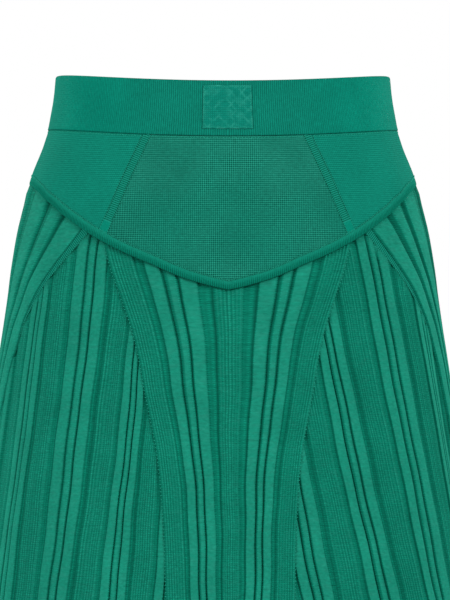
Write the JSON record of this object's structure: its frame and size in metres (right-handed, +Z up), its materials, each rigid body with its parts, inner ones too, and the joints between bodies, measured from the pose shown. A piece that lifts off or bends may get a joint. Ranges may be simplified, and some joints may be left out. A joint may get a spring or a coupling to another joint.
{
  "type": "flared mini skirt",
  "caption": "High-waisted flared mini skirt in rib knit with a V yoke, rolled seam, godets and a wide waistband, in its worn, hollow shape.",
  "frame": {"origin": "middle of the waist opening, level with its rim at the two sides", "axes": "+Z up along the wearer's body, -Y to the skirt's front, +X to the wearer's left"},
  "size_m": [0.4004, 0.3344, 0.4302],
  "materials": {
    "band": "dense 1x1 rib knit, smooth, soft low sheen",
    "patch": "raised tonal knit square, bare, matt",
    "yoke": "fine bird's-eye knit, matt",
    "yoke_strip": "cross-ribbed knit strip, matt",
    "roll": "rolled knit cord with fine cross ribs, soft low sheen",
    "rib": "wide and narrow vertical rib knit, matt with soft sheen at grazing angles",
    "godet": "wide and narrow vertical rib knit, matt with soft sheen at grazing angles",
    "godet_strip": "fine cross-ribbed knit strip, matt"
  },
  "bodies": {
    "root": {"godet_back_left": "godet", "godet_back_right": "godet", "godet_front_left": "godet", "godet_front_right": "godet", "godet_strip_back_left": "godet_strip", "godet_strip_back_right": "godet_strip", "godet_strip_front_left": "godet_strip", "godet_strip_front_right": "godet_strip", "panel_back": "rib", "panel_front": "rib", "panel_side_left": "rib", "panel_side_right": "rib", "seam_roll": "roll", "waist_patch": "patch", "waistband": "band", "yoke_back": "yoke", "yoke_front": "yoke", "yoke_side_left": "yoke", "yoke_side_right": "yoke", "yoke_strip_back_left": "yoke_strip", "yoke_strip_back_right": "yoke_strip", "yoke_strip_front_left": "yoke_strip", "yoke_strip_front_right": "yoke_strip"}
  },
  "joints": []
}
